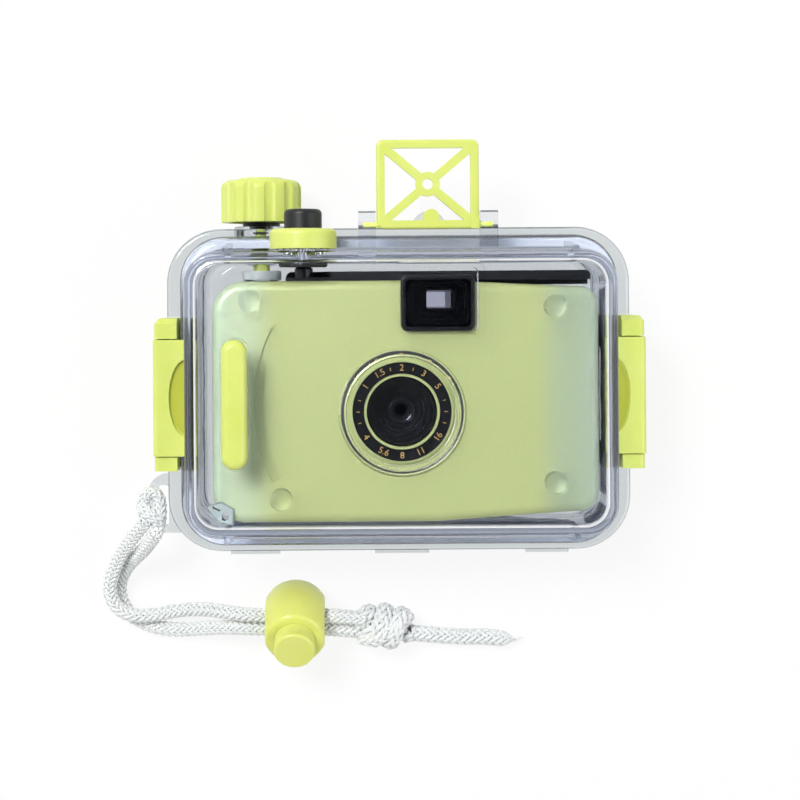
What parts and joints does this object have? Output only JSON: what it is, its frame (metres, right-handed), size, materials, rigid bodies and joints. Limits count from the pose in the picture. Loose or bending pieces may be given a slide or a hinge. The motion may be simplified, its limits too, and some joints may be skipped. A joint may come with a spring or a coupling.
{
  "type": "underwater camera",
  "caption": "Compact film camera in a clear waterproof housing with side latches, flip-up sight, winding knob, shutter button and a wrist cord with a cord lock.",
  "frame": {"origin": "middle of the housing's flat back, on the surface that the camera lies on", "axes": "+Z out of the lens, +Y to the side with the sight and the knobs, +X to the right of someone who looks at the lens"},
  "size_m": [0.1594, 0.1523, 0.0562],
  "materials": {
    "clear_plastic": "clear, polished",
    "clear_seal": "translucent, smooth",
    "yellow_plastic": "semi-gloss, lightly translucent",
    "pale_green_plastic": "satin, fading to mint at both ends",
    "black_plastic": "satin",
    "grey_plastic": "satin",
    "black_rubber": "matt",
    "steel": "brushed",
    "lens_glass": "coated",
    "white_cord": "braided"
  },
  "bodies": {
    "housing": {"front_shell": "clear_plastic", "rear_shell": "clear_plastic", "seal_ring": "clear_seal", "grip_bar": "yellow_plastic", "latch_right_base": "yellow_plastic", "latch_right_pin": "steel", "latch_left_base": "yellow_plastic", "latch_left_pin": "steel", "wind_gland_ring": "black_rubber", "wind_washer": "black_rubber", "shutter_collar": "yellow_plastic", "shutter_seal": "black_rubber", "shutter_spring": "steel", "camera_front_cover": "pale_green_plastic", "camera_body": "black_plastic", "camera_back_door": "black_plastic", "camera_top": "black_plastic", "viewfinder_bezel": "black_plastic", "viewfinder_front_lens": "lens_glass", "viewfinder_eye_lens": "lens_glass", "camera_strap_eye": "grey_plastic", "lens_ring": "black_plastic", "lens_barrel": "black_plastic", "lens_front_element": "lens_glass", "aperture_plate": "black_plastic", "lens_rear_element": "lens_glass", "pressure_plate": "black_plastic", "pressure_spring": "steel", "cord_hitch": "white_cord", "cord_strand_a": "white_cord", "cord_strand_b": "white_cord", "cord_knot": "white_cord", "cord_tail": "white_cord", "cord_lock_body": "yellow_plastic", "cord_lock_spring": "steel"},
    "latch_right": {"latch_right_lever": "yellow_plastic"},
    "latch_left": {"latch_left_lever": "yellow_plastic"},
    "sight": {"sight_frame": "yellow_plastic"},
    "winding_knob": {"wind_knob": "yellow_plastic", "wind_shaft": "yellow_plastic", "wind_clip": "steel", "wind_drive_fork": "grey_plastic"},
    "winder": {"wind_wheel": "black_plastic", "take_up_spool": "black_plastic"},
    "shutter_button": {"shutter_cap": "black_rubber", "shutter_plunger": "steel", "shutter_foot": "black_plastic"},
    "release": {"release_button": "black_plastic"},
    "sprocket": {"sprocket_shaft": "black_plastic"},
    "counter": {"film_counter": "black_plastic"},
    "rewind": {"rewind_knob": "black_plastic", "rewind_fork": "black_plastic"},
    "blade": {"shutter_blade": "black_plastic"},
    "lock_button": {"cord_lock_button": "yellow_plastic"}
  },
  "joints": [
    {"name": "latch_right_hinge", "type": "hinge", "parent": "housing", "child": "latch_right", "pos_m": [0.0685, -0.0017, 0.01475], "axis": [0, 1, 0], "range_deg": [0, 110]},
    {"name": "latch_left_hinge", "type": "hinge", "parent": "housing", "child": "latch_left", "pos_m": [-0.0685, -0.0017, 0.01475], "axis": [0, -1, 0], "range_deg": [0, 110]},
    {"name": "sight_hinge", "type": "hinge", "parent": "housing", "child": "sight", "pos_m": [0.00825, 0.0472, 0.0334], "axis": [1, 0, 0], "range_deg": [0, 90]},
    {"name": "winding_knob_spin", "type": "hinge", "parent": "housing", "child": "winding_knob", "pos_m": [-0.04, 0.05, 0.013], "axis": [0, 1, 0], "continuous": true},
    {"name": "winder_spin", "type": "hinge", "parent": "housing", "child": "winder", "pos_m": [-0.04, 0.02, 0.013], "axis": [0, 1, 0], "continuous": true},
    {"name": "shutter_button_slide", "type": "slide", "parent": "housing", "child": "shutter_button", "axis": [0, -1, 0], "range_m": [0, 0.0014], "stiffness_N_per_m": 300, "springref_m": -0.003, "deforming": ["shutter_spring"]},
    {"name": "release_slide", "type": "slide", "parent": "housing", "child": "release", "axis": [0, -1, 0], "range_m": [0, 0.0014]},
    {"name": "sprocket_spin", "type": "hinge", "parent": "housing", "child": "sprocket", "pos_m": [-0.0286, -0.005, 0.014], "axis": [0, 1, 0], "continuous": true},
    {"name": "counter_spin", "type": "hinge", "parent": "housing", "child": "counter", "pos_m": [-0.01, 0.033, 0.024], "axis": [0, 1, 0], "continuous": true},
    {"name": "rewind_spin", "type": "hinge", "parent": "housing", "child": "rewind", "pos_m": [0.0392, 0.033, 0.02], "axis": [0, 1, 0], "continuous": true},
    {"name": "blade_swing", "type": "hinge", "parent": "housing", "child": "blade", "pos_m": [0.0066, -0.005, 0.0276], "axis": [0, 0, 1], "range_deg": [0, 45], "stiffness_Nm_per_rad": 0.0005, "springref_deg": -17.19},
    {"name": "lock_button_slide", "type": "slide", "parent": "housing", "child": "lock_button", "axis": [0, 0.454, -0.891], "range_m": [0, 0.0026], "stiffness_N_per_m": 400, "springref_m": -0.003, "deforming": ["cord_lock_spring"]}
  ],
  "couplings": [
    {"joint": "winder_spin", "follows": "winding_knob_spin", "ratio": 1},
    {"joint": "release_slide", "follows": "shutter_button_slide", "ratio": 1},
    {"joint": "counter_spin", "follows": "sprocket_spin", "ratio": -0.020833}
  ]
}
